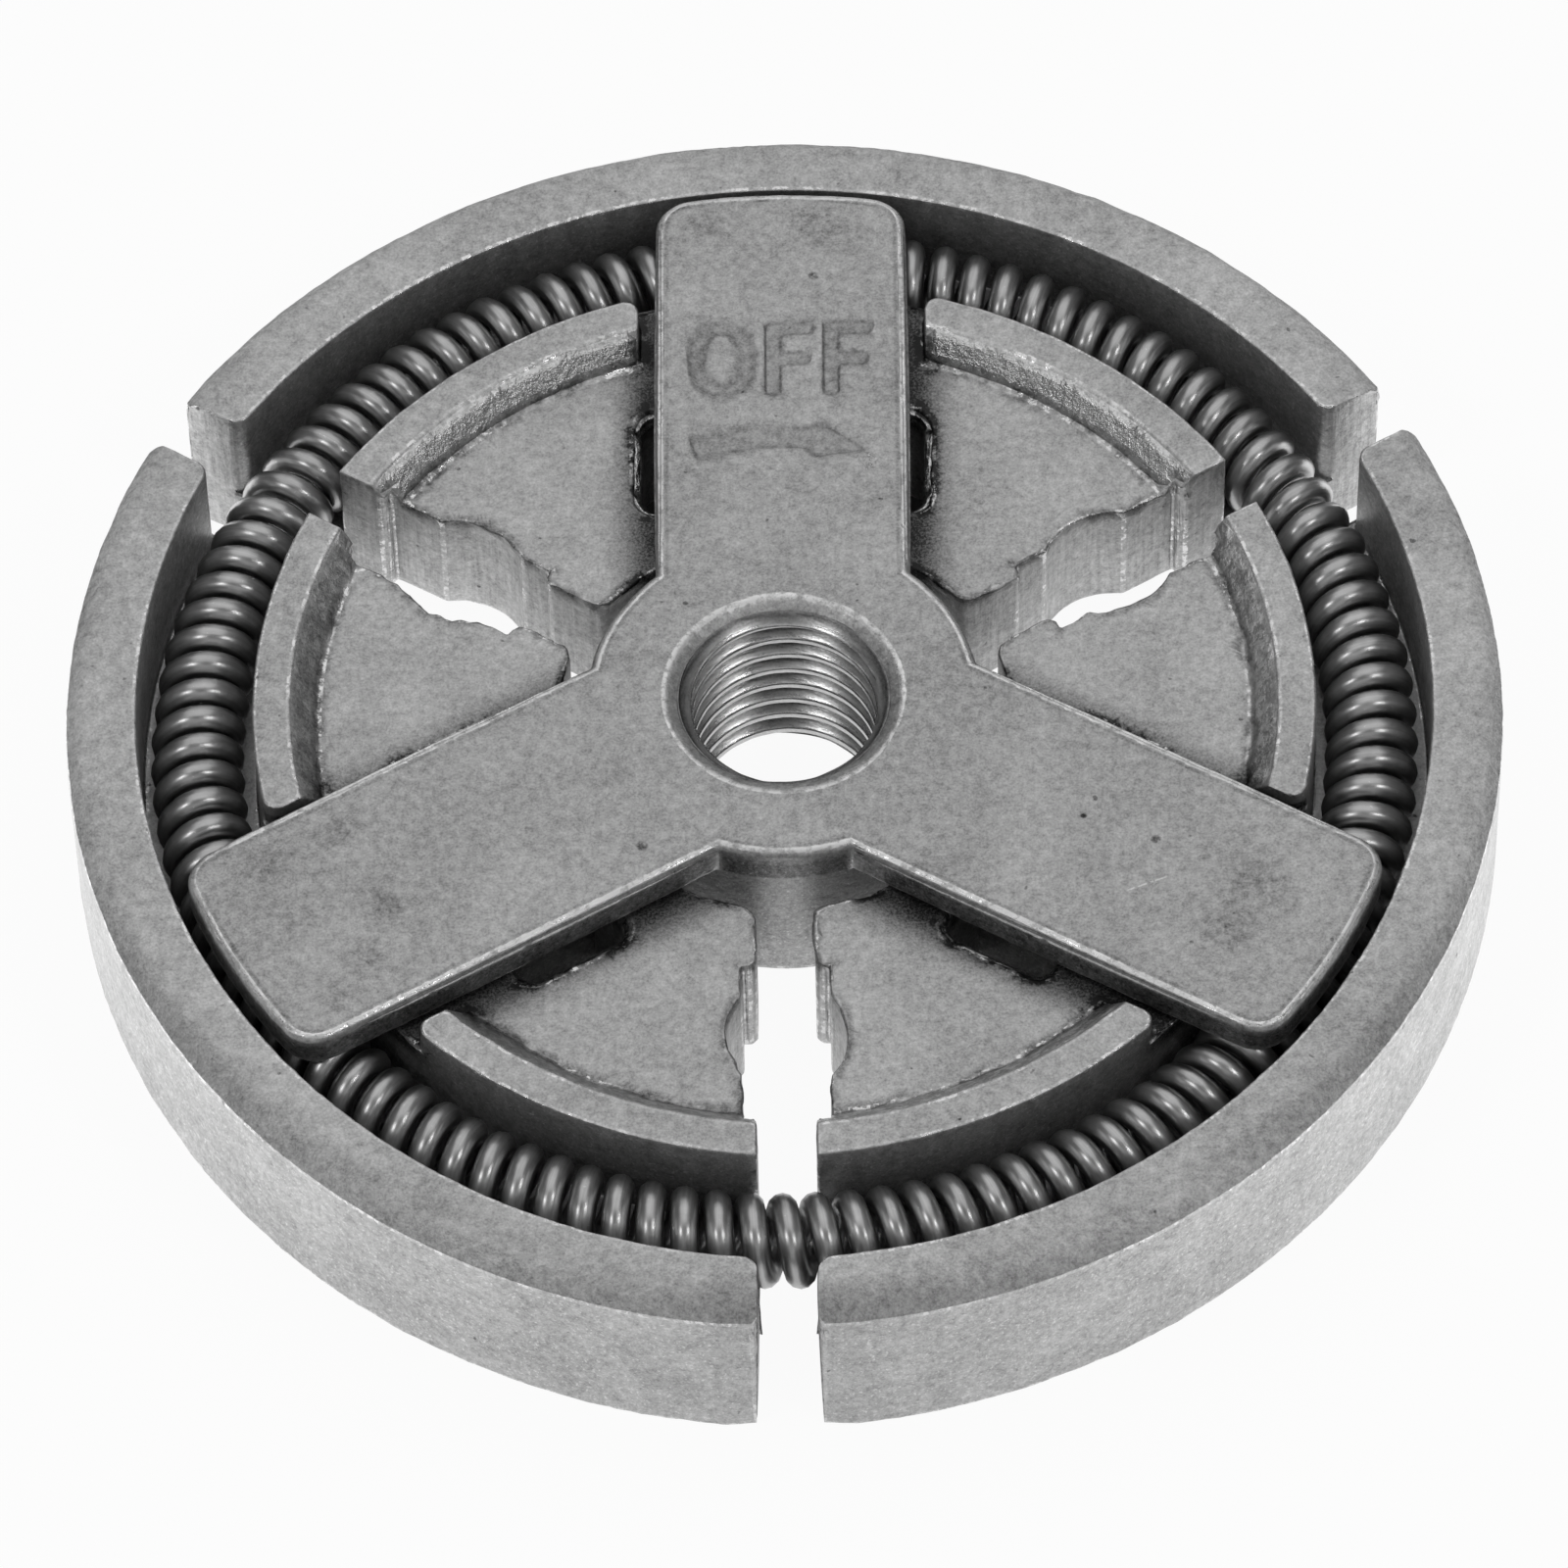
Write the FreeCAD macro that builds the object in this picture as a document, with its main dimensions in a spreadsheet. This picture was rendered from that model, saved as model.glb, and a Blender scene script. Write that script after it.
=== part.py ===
import FreeCAD, Part

import math
import os

import Sketcher

# A centrifugal chainsaw clutch: a sintered spider with three T-section arms,
# three sintered shoes that slide out along the arms, and one garter spring
# that pulls the shoes in. The origin is on the bore axis in the seat plane,
# +Z points to the lettered face, and the lettered arm lies along +Y.

# Driving sizes in millimetres.
SIZES = {
    # Shoes. Their curves are turned about the drum axis, and at rest the
    # spring holds each shoe this far inside that running position.
    "drum_radius": 35.0,
    "rest_retraction": 0.9,
    "shoe_height": 9.6,
    "rim_thickness": 3.4,
    "rim_chamfer": 0.7,
    "wall_thickness": 1.8,
    "wall_foot": 1.25,
    "web_recess": 1.45,
    # The ends of the shoes, from the hub outwards.
    "end_gap": 2.76,
    "land_length": 3.1,
    "relief_depth": 0.68,
    "relief_lead": 1.6,
    "hollow_depth": 0.75,
    "relief_tail": 2.8,
    "relief_margin": 0.85,
    "end_corner_radius": 0.8,
    "rim_corner_radius": 0.45,
    "step_corner_bevel": 0.3,
    # The way of the arm through the shoe.
    "channel_corner_radius": 0.7,
    "window_lead": 1.9,
    "window_tail": 3.2,
    "window_margin": 0.7,
    "window_corner_radius": 0.8,
    "window_bevel": 0.45,
    "slot_wall": 2.5,
    # Spider.
    "boss_radius": 9.35,
    "boss_chamfer": 0.75,
    "bore_radius": 5.0,
    "bore_chamfer": 0.65,
    "bore_chamfer_depth": 0.37,
    "arm_width": 12.2,
    "arm_corner_radius": 1.9,
    "plate_thickness": 1.9,
    "plate_rise": 0.8,
    "plate_edge_chamfer": 0.25,
    "stem_width": 6.2,
    "stem_corner_radius": 0.8,
    # Garter spring.
    "coil_diameter": 4.5,
    "wire_diameter": 1.35,
    "coil_space": 0.25,
    # Clearances.
    "boss_clearance": 1.25,
    "plate_clearance": 0.3,
    "tip_clearance": 0.7,
    "channel_clearance": 0.85,
    "slide_clearance": 0.12,
    "stop_clearance": 0.15,
    "spring_play": 1.0,
    "spring_clearance": 0.15,
    "cut_margin": 1.0,
}

ARM_ANGLES = {"shoe_back": 90, "shoe_left": 210, "shoe_right": 330}
HALF_SHARE = 180 / len(ARM_ANGLES)

# Sizes that follow from the driving ones. Radii and lengths of a shoe are
# those of its running position, concentric with the drum.
FOLLOWING = {
    "spider_height": "sizes.shoe_height + sizes.plate_rise",
    "plate_bottom": "spider_height - sizes.plate_thickness",
    "web_height": "plate_bottom - sizes.plate_clearance",
    "spring_height": "plate_bottom - sizes.spring_clearance - sizes.coil_diameter / 2",
    "groove_floor": "spring_height - sizes.coil_diameter / 2 - sizes.spring_clearance",
    "rim_inside": "sizes.drum_radius - sizes.rim_thickness",
    "wall_outside": "rim_inside - sizes.coil_diameter - sizes.spring_play",
    "wall_inside": "wall_outside - sizes.wall_thickness",
    "foot_start": "wall_inside - sizes.wall_foot",
    "groove_middle": "(rim_inside + wall_outside) / 2",
    "shoe_inside": "sizes.boss_radius + sizes.boss_clearance + sizes.rest_retraction",
    "half_gap": f"sizes.end_gap / 2 + sizes.rest_retraction * sin({HALF_SHARE} deg)",
    "relief_level": "half_gap + sizes.relief_depth",
    "land_end": "shoe_inside + sizes.land_length",
    "hollow_start": "land_end + sizes.relief_lead",
    "relief_end": "wall_inside - sizes.relief_margin",
    "hollow_end": "relief_end - sizes.relief_tail",
    "hollow_half": "(hollow_end - hollow_start) / 2",
    "hollow_radius": "(hollow_half^2 + sizes.hollow_depth^2) / (2 * sizes.hollow_depth)",
    "cut_reach": "sizes.drum_radius + sizes.cut_margin",
    "channel_half": "sizes.arm_width / 2 + sizes.channel_clearance",
    "window_half": "sizes.arm_width / 2 + sizes.window_margin",
    "window_start": "shoe_inside + sizes.window_lead",
    "window_end": "sqrt(foot_start^2 - window_half^2) - sizes.window_tail",
    "slot_half": "sizes.stem_width / 2 + sizes.slide_clearance",
    "slot_end": "wall_outside - sizes.slot_wall",
    "stem_half": "sizes.stem_width / 2",
    "stem_reach": "slot_end - sizes.rest_retraction - sizes.stop_clearance",
    "arm_half": "sizes.arm_width / 2",
    "arm_reach": "rim_inside - sizes.rest_retraction - sizes.tip_clearance",
    "wall_at_ends": f"wall_outside - sizes.rest_retraction * cos({HALF_SHARE} deg)",
    "spring_radius": "wall_at_ends + sizes.spring_clearance + sizes.coil_diameter / 2",
}

# The wire of the spring is drawn with this many sides and steps in each coil.
WIRE_SIDES = 3
STEPS_PER_COIL = 6
SEWING_REACH = 1e-4

# A sketch's own point, and how close two lengths count as equal.
ORIGIN = (-1, 1)
NEAR = 1e-3
TINY = 1e-6

doc = FreeCAD.newDocument("chainsaw_clutch")


def make_sheet(name, cells):
    sheet = doc.addObject("Spreadsheet::Sheet", name)
    for row, (alias, content) in enumerate(cells.items(), start=1):
        sheet.set(f"A{row}", alias)
        sheet.set(f"B{row}", content)
        sheet.setAlias(f"B{row}", alias)
    doc.recompute()
    return sheet


sizes = make_sheet("sizes", {name: str(value) for name, value in SIZES.items()})
following = make_sheet("following", {name: f"={rule}" for name, rule in FOLLOWING.items()})


# The value of a size, and the expression that binds a feature to it.
def size(name):
    sheet = sizes if name in SIZES else following
    return float(sheet.get(name))


def cell(name):
    return f"sizes.{name}" if name in SIZES else f"following.{name}"


# Sketch helpers.

def origin_feature(body, role):
    return next(item for item in body.Origin.OriginFeatures if item.Role == role)


def new_sketch(body, name, plane="XY_Plane", height=None, turn=0.0):
    sketch = body.newObject("Sketcher::SketchObject", name)
    sketch.AttachmentSupport = [(origin_feature(body, plane), "")]
    sketch.MapMode = "FlatFace"
    turned = FreeCAD.Rotation(FreeCAD.Vector(0, 0, 1), turn)
    sketch.AttachmentOffset = FreeCAD.Placement(FreeCAD.Vector(), turned)
    if height is not None:
        sketch.setExpression("AttachmentOffset.Base.z", cell(height))
    doc.recompute()
    return sketch


def line(start, end):
    return Part.LineSegment(FreeCAD.Vector(*start, 0), FreeCAD.Vector(*end, 0))


# An arc about a centre, counter-clockwise between two angles in degrees.
def arc(center, radius, first, last):
    circle = Part.Circle(FreeCAD.Vector(*center, 0), FreeCAD.Vector(0, 0, 1), radius)
    return Part.ArcOfCircle(circle, math.radians(first), math.radians(last))


# Draws the segments as one closed loop, in which level and upright lines
# stay so, and returns their numbers.
def draw_loop(sketch, segments):
    numbers = [sketch.addGeometry(segment, False) for segment in segments]
    for here, there in zip(numbers, numbers[1:] + numbers[:1]):
        sketch.addConstraint(Sketcher.Constraint("Coincident", here, 2, there, 1))
    for number, segment in zip(numbers, segments):
        if not isinstance(segment, Part.LineSegment):
            continue
        if abs(segment.StartPoint.x - segment.EndPoint.x) < TINY:
            sketch.addConstraint(Sketcher.Constraint("Vertical", number))
        if abs(segment.StartPoint.y - segment.EndPoint.y) < TINY:
            sketch.addConstraint(Sketcher.Constraint("Horizontal", number))
    return numbers


# Binds a distance along one of the sketch's axes, or a radius, to a size.
def bind(sketch, kind, places, value, name):
    index = sketch.addConstraint(Sketcher.Constraint(kind, *places, value))
    sketch.setExpression(f"Constraints[{index}]", cell(name))


def across(sketch, start, end, name):
    value = sketch.getPoint(*end).x - sketch.getPoint(*start).x
    bind(sketch, "DistanceX", (*start, *end), value, name)


def upward(sketch, start, end, name):
    value = sketch.getPoint(*end).y - sketch.getPoint(*start).y
    bind(sketch, "DistanceY", (*start, *end), value, name)


# Holds a point at the height of the sketch's own point.
def level_with_origin(sketch, number):
    sketch.addConstraint(Sketcher.Constraint("Horizontal", number, 1, *ORIGIN))


def rounded(sketch, number, name):
    bind(sketch, "Radius", (number,), sketch.Geometry[number].Radius, name)


def draw_circle(sketch, name):
    circle = Part.Circle(FreeCAD.Vector(), FreeCAD.Vector(0, 0, 1), size(name))
    number = sketch.addGeometry(circle, False)
    sketch.addConstraint(Sketcher.Constraint("Coincident", number, 3, *ORIGIN))
    rounded(sketch, number, name)


# A rectangle about the sketch's upright axis, from its level axis or from a
# stated height.
def draw_rectangle(sketch, half, high, low=None):
    width = size(half)
    bottom = size(low) if low else 0
    corners = [(-width, bottom), (width, bottom), (width, size(high)), (-width, size(high))]
    sides = [line(start, end) for start, end in zip(corners, corners[1:] + corners[:1])]
    base, right, top, left = draw_loop(sketch, sides)
    across(sketch, (base, 1), ORIGIN, half)
    across(sketch, ORIGIN, (base, 2), half)
    upward(sketch, ORIGIN, (top, 1), high)
    if low:
        upward(sketch, ORIGIN, (base, 1), low)
    else:
        level_with_origin(sketch, base)


# Feature helpers.

def pad(body, name, sketch, length):
    feature = body.newObject("PartDesign::Pad", name)
    feature.Profile = sketch
    feature.setExpression("Length", cell(length))
    doc.recompute()
    return feature


# Cuts the sketch from its plane up through the body, and stops if nothing was cut.
def cut_upward(body, name, sketch):
    before = body.Shape.Volume
    feature = body.newObject("PartDesign::Pocket", name)
    feature.Profile = sketch
    feature.Type = "ThroughAll"
    feature.Reversed = True
    doc.recompute()
    if body.Shape.Volume > before - TINY:
        raise RuntimeError(f"{name} cuts nothing")
    return feature


# Dresses the edges of the body's last feature that pass the test.
def dress_edges(body, name, kind, size_property, wanted, width):
    base = body.Tip
    names = [f"Edge{number}" for number, edge in enumerate(base.Shape.Edges, start=1) if wanted(edge)]
    if not names:
        raise RuntimeError(f"{name} finds no edge")
    feature = body.newObject(kind, name)
    feature.Base = (base, names)
    feature.setExpression(size_property, cell(width))
    doc.recompute()
    return feature


def round_edges(body, name, wanted, radius):
    dress_edges(body, name, "PartDesign::Fillet", "Radius", wanted, radius)


def bevel_edges(body, name, wanted, width):
    return dress_edges(body, name, "PartDesign::Chamfer", "Size", wanted, width)


def is_upright(edge):
    if not isinstance(edge.Curve, (Part.Line, Part.LineSegment)):
        return False
    return abs(edge.tangentAt(edge.FirstParameter).z) > 1 - TINY


def middle_of(edge):
    return edge.valueAt((edge.FirstParameter + edge.LastParameter) / 2)


def plan_radius(edge):
    middle = middle_of(edge)
    return math.hypot(middle.x, middle.y)


def near(value, target):
    return abs(value - target) < NEAR


# Spider: a round boss and three arms that are T-shaped in section, a wide
# plate over a narrow stem.

def draw_arm_outline(sketch):
    half = size("arm_half")
    reach = size("arm_reach")
    spread = math.degrees(math.acos(half / reach))
    side = math.sqrt(reach ** 2 - half ** 2)
    base, right, tip, left = draw_loop(sketch, [
        line((-half, 0), (half, 0)),
        line((half, 0), (half, side)),
        arc((0, 0), reach, spread, 180 - spread),
        line((-half, side), (-half, 0)),
    ])
    level_with_origin(sketch, base)
    sketch.addConstraint(Sketcher.Constraint("Coincident", tip, 3, *ORIGIN))
    across(sketch, (base, 1), ORIGIN, "arm_half")
    across(sketch, ORIGIN, (base, 2), "arm_half")
    rounded(sketch, tip, "arm_reach")


def repeat_arms(body, originals):
    pattern = body.newObject("PartDesign::PolarPattern", "arms")
    pattern.Originals = originals
    pattern.Axis = (origin_feature(body, "Z_Axis"), [""])
    pattern.Angle = 360
    pattern.Occurrences = len(ARM_ANGLES)
    body.Tip = pattern
    doc.recompute()


def make_spider():
    body = doc.addObject("PartDesign::Body", "spider_hub")
    body.Label = "spider_hub"

    boss_circle = new_sketch(body, "boss_circle")
    draw_circle(boss_circle, "boss_radius")
    pad(body, "boss", boss_circle, "spider_height")

    stem_outline = new_sketch(body, "stem_outline")
    draw_rectangle(stem_outline, "stem_half", "stem_reach")
    stem = pad(body, "stem", stem_outline, "plate_bottom")

    arm_outline = new_sketch(body, "arm_outline", height="plate_bottom")
    draw_arm_outline(arm_outline)
    arm = pad(body, "arm_plate", arm_outline, "plate_thickness")
    repeat_arms(body, [stem, arm])

    bore_circle = new_sketch(body, "bore_circle")
    draw_circle(bore_circle, "bore_radius")
    cut_upward(body, "bore", bore_circle)

    between_tips = (size("stem_reach") + size("arm_reach")) / 2

    def at_arm_tip(edge):
        return is_upright(edge) and plan_radius(edge) > between_tips

    def at_stem_tip(edge):
        beyond_boss = size("boss_radius") + NEAR < plan_radius(edge) < between_tips
        return is_upright(edge) and beyond_boss and middle_of(edge).z < size("plate_bottom")

    def on_top(edge):
        return near(middle_of(edge).z, size("spider_height"))

    def at_bore(edge):
        return near(plan_radius(edge), size("bore_radius"))

    def at_plate_edge(edge):
        return on_top(edge) and not at_bore(edge)

    def at_bore_mouth(edge):
        return on_top(edge) and at_bore(edge)

    def at_boss_foot(edge):
        return near(middle_of(edge).z, 0) and near(plan_radius(edge), size("boss_radius"))

    round_edges(body, "arm_corners", at_arm_tip, "arm_corner_radius")
    round_edges(body, "stem_corners", at_stem_tip, "stem_corner_radius")
    bevel_edges(body, "plate_edge", at_plate_edge, "plate_edge_chamfer")
    mouth = bevel_edges(body, "bore_mouth", at_bore_mouth, "bore_chamfer")
    mouth.ChamferType = "Two distances"
    mouth.setExpression("Size2", cell("bore_chamfer_depth"))
    doc.recompute()
    mouth_radius = size("bore_radius") + size("bore_chamfer")
    if not any(on_top(edge) and near(plan_radius(edge), mouth_radius) for edge in body.Shape.Edges):
        raise RuntimeError("bore_mouth is bevelled the wrong way round")
    bevel_edges(body, "boss_foot", at_boss_foot, "boss_chamfer")
    return body


# Shoes.

# The radial section: rim with a bevelled outer edge, spring groove, wall with
# a sloping foot, and web, which is recessed below up to the outside of the
# wall. It is turned about the drum axis.
def draw_shoe_section(sketch):
    height = size("shoe_height")
    outside = size("drum_radius")
    bevel = size("rim_chamfer")
    corners = [
        (size("shoe_inside"), size("web_recess")),
        (size("wall_outside"), size("web_recess")),
        (size("wall_outside"), 0),
        (outside, 0),
        (outside, height - bevel),
        (outside - bevel, height),
        (size("rim_inside"), height),
        (size("rim_inside"), size("groove_floor")),
        (size("wall_outside"), size("groove_floor")),
        (size("wall_outside"), height),
        (size("wall_inside"), height),
        (size("foot_start"), size("web_height")),
        (size("shoe_inside"), size("web_height")),
    ]
    sides = [line(start, end) for start, end in zip(corners, corners[1:] + corners[:1])]
    (recess, drop, base, outer, slope, rim_top, rim_inner, groove, wall_outer, wall_top,
     foot, web, inner) = draw_loop(sketch, sides)
    level_with_origin(sketch, base)
    upward(sketch, ORIGIN, (recess, 1), "web_recess")
    across(sketch, ORIGIN, (recess, 1), "shoe_inside")
    across(sketch, ORIGIN, (base, 1), "wall_outside")
    across(sketch, ORIGIN, (base, 2), "drum_radius")
    across(sketch, (slope, 2), (slope, 1), "rim_chamfer")
    upward(sketch, (slope, 1), (slope, 2), "rim_chamfer")
    upward(sketch, ORIGIN, (rim_top, 1), "shoe_height")
    across(sketch, ORIGIN, (rim_inner, 1), "rim_inside")
    upward(sketch, ORIGIN, (groove, 1), "groove_floor")
    across(sketch, ORIGIN, (wall_outer, 1), "wall_outside")
    upward(sketch, ORIGIN, (wall_top, 1), "shoe_height")
    across(sketch, ORIGIN, (wall_top, 2), "wall_inside")
    across(sketch, ORIGIN, (foot, 2), "foot_start")
    upward(sketch, ORIGIN, (web, 1), "web_height")


# The waste between one end of the shoe and the line between two shoes, which
# is the sketch's level axis. From the hub outwards it leaves a land, a step
# into a relief with a round hollow, and a step back at the wall and the rim.
def draw_end_waste(sketch):
    low = -size("cut_margin")
    far = size("cut_reach")
    gap = size("half_gap")
    relief = size("relief_level")
    center = (size("hollow_start") + size("hollow_end")) / 2
    bend = size("hollow_radius")
    opening = math.degrees(math.asin(size("hollow_half") / bend))
    (base, outer_end, outer_land, outer_step, outer_relief, hollow, inner_relief, inner_step,
     inner_land, start) = draw_loop(sketch, [
        line((0, low), (far, low)),
        line((far, low), (far, gap)),
        line((far, gap), (size("relief_end"), gap)),
        line((size("relief_end"), gap), (size("relief_end"), relief)),
        line((size("relief_end"), relief), (size("hollow_end"), relief)),
        arc((center, relief + size("hollow_depth") - bend), bend, 90 - opening, 90 + opening),
        line((size("hollow_start"), relief), (size("land_end"), relief)),
        line((size("land_end"), relief), (size("land_end"), gap)),
        line((size("land_end"), gap), (0, gap)),
        line((0, gap), (0, low)),
    ])
    sketch.addConstraint(Sketcher.Constraint("Vertical", base, 1, *ORIGIN))
    upward(sketch, (base, 1), ORIGIN, "cut_margin")
    across(sketch, ORIGIN, (base, 2), "cut_reach")
    upward(sketch, ORIGIN, (outer_land, 1), "half_gap")
    across(sketch, ORIGIN, (outer_step, 1), "relief_end")
    upward(sketch, ORIGIN, (outer_relief, 1), "relief_level")
    across(sketch, ORIGIN, (outer_relief, 2), "hollow_end")
    rounded(sketch, hollow, "hollow_radius")
    across(sketch, ORIGIN, (inner_relief, 1), "hollow_start")
    upward(sketch, ORIGIN, (inner_relief, 1), "relief_level")
    across(sketch, ORIGIN, (inner_step, 1), "land_end")
    upward(sketch, ORIGIN, (inner_land, 1), "half_gap")


def make_shoe(label, angle):
    body = doc.addObject("PartDesign::Body", label)
    body.Label = label

    section = new_sketch(body, f"{label}_section", "YZ_Plane")
    draw_shoe_section(section)
    sector = body.newObject("PartDesign::Revolution", f"{label}_sector")
    sector.Profile = section
    sector.ReferenceAxis = (origin_feature(body, "Z_Axis"), [""])
    sector.Angle = 2 * HALF_SHARE
    sector.Midplane = True
    doc.recompute()

    end_waste = new_sketch(body, f"{label}_end_waste", turn=90 - HALF_SHARE)
    draw_end_waste(end_waste)
    end_cut = cut_upward(body, f"{label}_end_cut", end_waste)
    both_ends = body.newObject("PartDesign::Mirrored", f"{label}_both_ends")
    both_ends.Originals = [end_cut]
    both_ends.MirrorPlane = (origin_feature(body, "YZ_Plane"), [""])
    body.Tip = both_ends
    doc.recompute()

    channel = new_sketch(body, f"{label}_channel_outline", height="web_height")
    draw_rectangle(channel, "channel_half", "groove_middle")
    cut_upward(body, f"{label}_channel", channel)

    slot = new_sketch(body, f"{label}_slot_outline")
    draw_rectangle(slot, "slot_half", "slot_end")
    cut_upward(body, f"{label}_slot", slot)

    windows = new_sketch(body, f"{label}_window_outline")
    draw_rectangle(windows, "window_half", "window_end", low="window_start")
    cut_upward(body, f"{label}_windows", windows)

    def at_wall_end(edge):
        beside_arm = near(abs(middle_of(edge).x), size("channel_half"))
        return is_upright(edge) and beside_arm and middle_of(edge).z > size("web_height")

    def at_window_corner(edge):
        in_window = near(abs(middle_of(edge).x), size("window_half"))
        return is_upright(edge) and in_window and middle_of(edge).z < size("web_height")

    # At a convex corner of a step in an end of the shoe.
    def at_step_corner(edge):
        middle = middle_of(edge)
        tilt = math.radians(90 - HALF_SHARE)
        along = abs(middle.x) * math.cos(tilt) + middle.y * math.sin(tilt)
        aside = middle.y * math.cos(tilt) - abs(middle.x) * math.sin(tilt)
        at_step = near(along, size("land_end")) or near(along, size("relief_end"))
        return is_upright(edge) and at_step and near(aside, size("half_gap"))

    # At the upper edge of a window, on its straight sides or its corners.
    def at_window_edge(edge):
        middle = middle_of(edge)
        beside_channel = abs(middle.x) > size("slot_half") + NEAR
        in_window = size("window_start") - NEAR < middle.y < size("window_end") + NEAR
        inside = abs(middle.x) < size("window_half") + NEAR
        return near(middle.z, size("web_height")) and beside_channel and in_window and inside

    def at_rim_end(edge):
        return is_upright(edge) and near(plan_radius(edge), size("drum_radius"))

    def at_groove_end(edge):
        return is_upright(edge) and near(plan_radius(edge), size("rim_inside"))

    def at_land_end(edge):
        beside_slot = abs(middle_of(edge).x) > size("window_half")
        return is_upright(edge) and near(plan_radius(edge), size("shoe_inside")) and beside_slot

    round_edges(body, f"{label}_wall_ends", at_wall_end, "channel_corner_radius")
    round_edges(body, f"{label}_window_corners", at_window_corner, "window_corner_radius")
    bevel_edges(body, f"{label}_window_edges", at_window_edge, "window_bevel")
    round_edges(body, f"{label}_rim_ends", at_rim_end, "rim_corner_radius")
    round_edges(body, f"{label}_groove_ends", at_groove_end, "end_corner_radius")
    round_edges(body, f"{label}_land_ends", at_land_end, "end_corner_radius")
    bevel_edges(body, f"{label}_step_corners", at_step_corner, "step_corner_bevel")

    body.Placement.Rotation = FreeCAD.Rotation(FreeCAD.Vector(0, 0, 1), angle - 90)
    body.setExpression("Placement.Base.x", f"-sizes.rest_retraction * cos({angle} deg)")
    body.setExpression("Placement.Base.y", f"-sizes.rest_retraction * sin({angle} deg)")
    doc.recompute()
    return body


# Garter spring: a wire wound round a ring with its ends joined. Flat facets
# follow the wire, which is drawn three-sided and as wide as the real one. It
# lies against the walls of the shoes at rest.

def spring_points():
    turn = 2 * math.pi
    pitch = size("wire_diameter") + size("coil_space")
    coils = round(turn * size("spring_radius") / pitch)
    corner_reach = size("wire_diameter") / 2 / math.sin(math.pi / WIRE_SIDES)
    coil_radius = size("coil_diameter") / 2 - corner_reach
    upright = FreeCAD.Vector(0, 0, 1)
    points = []
    for step in range(coils * STEPS_PER_COIL):
        coil_angle = turn * step / STEPS_PER_COIL
        ring_angle = -coil_angle / coils
        outward = FreeCAD.Vector(math.cos(ring_angle), math.sin(ring_angle), 0)
        onward = upright.cross(outward)
        away = outward * math.cos(coil_angle) + upright * math.sin(coil_angle)
        ring_point = outward * size("spring_radius") + upright * size("spring_height")
        center = ring_point + away * coil_radius
        for side in range(WIRE_SIDES):
            side_angle = turn * side / WIRE_SIDES
            spoke = away * math.cos(side_angle) + onward * math.sin(side_angle)
            points.append(center + spoke * corner_reach)
    return points


def make_spring():
    points = spring_points()
    facets = []
    for here in range(0, len(points), WIRE_SIDES):
        there = (here + WIRE_SIDES) % len(points)
        for side in range(WIRE_SIDES):
            next_side = (side + 1) % WIRE_SIDES
            facets.append((here + side, here + next_side, there + next_side))
            facets.append((here + side, there + next_side, there + side))
    skin = Part.Shape()
    skin.makeShapeFromMesh((points, facets), SEWING_REACH)
    solid = Part.Solid(skin.Shells[0])
    if solid.Volume < 0:
        solid.reverse()
    spring = doc.addObject("Part::Feature", "garter_spring")
    spring.Label = "garter_spring"
    spring.Shape = solid
    spring.Placement = FreeCAD.Placement()
    return spring


pieces = [make_spider()]
for shoe_label, arm_angle in ARM_ANGLES.items():
    pieces.append(make_shoe(shoe_label, arm_angle))
pieces.append(make_spring())
doc.recompute()

for item in doc.Objects:
    if "Invalid" in item.State or "Error" in item.State:
        raise RuntimeError(f"{item.Label} failed to build")
for piece in pieces:
    if piece.Shape.isNull() or not piece.Shape.isValid():
        raise RuntimeError(f"{piece.Label} has no valid shape")

os.makedirs("parts", exist_ok=True)
for piece in pieces:
    piece.Shape.exportStep(f"parts/{piece.Label}.step")
    print(piece.Label, len(piece.Shape.Solids), round(piece.Shape.Volume, 2), piece.Shape.BoundBox)
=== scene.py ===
import math
from itertools import product

import bmesh
import bpy
import numpy as np
from mathutils import Matrix, Vector


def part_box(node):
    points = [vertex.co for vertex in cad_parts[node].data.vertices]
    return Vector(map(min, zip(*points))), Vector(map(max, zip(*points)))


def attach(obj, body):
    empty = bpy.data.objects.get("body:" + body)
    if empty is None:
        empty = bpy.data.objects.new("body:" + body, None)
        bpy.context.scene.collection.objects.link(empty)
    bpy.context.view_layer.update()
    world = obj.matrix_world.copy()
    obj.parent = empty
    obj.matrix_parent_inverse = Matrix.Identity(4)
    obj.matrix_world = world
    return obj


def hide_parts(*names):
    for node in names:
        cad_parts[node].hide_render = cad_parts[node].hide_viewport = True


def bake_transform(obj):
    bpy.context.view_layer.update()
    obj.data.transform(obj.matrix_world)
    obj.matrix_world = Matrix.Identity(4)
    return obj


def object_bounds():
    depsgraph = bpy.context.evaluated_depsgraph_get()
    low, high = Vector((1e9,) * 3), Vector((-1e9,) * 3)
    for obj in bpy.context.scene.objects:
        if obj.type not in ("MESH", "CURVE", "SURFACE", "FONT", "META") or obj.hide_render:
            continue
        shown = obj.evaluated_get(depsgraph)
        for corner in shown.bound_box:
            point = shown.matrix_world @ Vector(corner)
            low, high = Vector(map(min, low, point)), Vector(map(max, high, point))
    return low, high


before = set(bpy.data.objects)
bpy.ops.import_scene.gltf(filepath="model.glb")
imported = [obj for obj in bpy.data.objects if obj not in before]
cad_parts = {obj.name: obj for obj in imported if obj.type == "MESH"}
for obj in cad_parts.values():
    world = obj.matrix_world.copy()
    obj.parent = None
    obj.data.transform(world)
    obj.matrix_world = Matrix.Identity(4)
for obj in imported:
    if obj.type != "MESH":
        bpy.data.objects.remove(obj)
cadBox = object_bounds()
mm = 0.001
tau = 2 * math.pi
armTurns = (90, 210, 330)   # directions of the arms, each with its shoe: back, left and right
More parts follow.
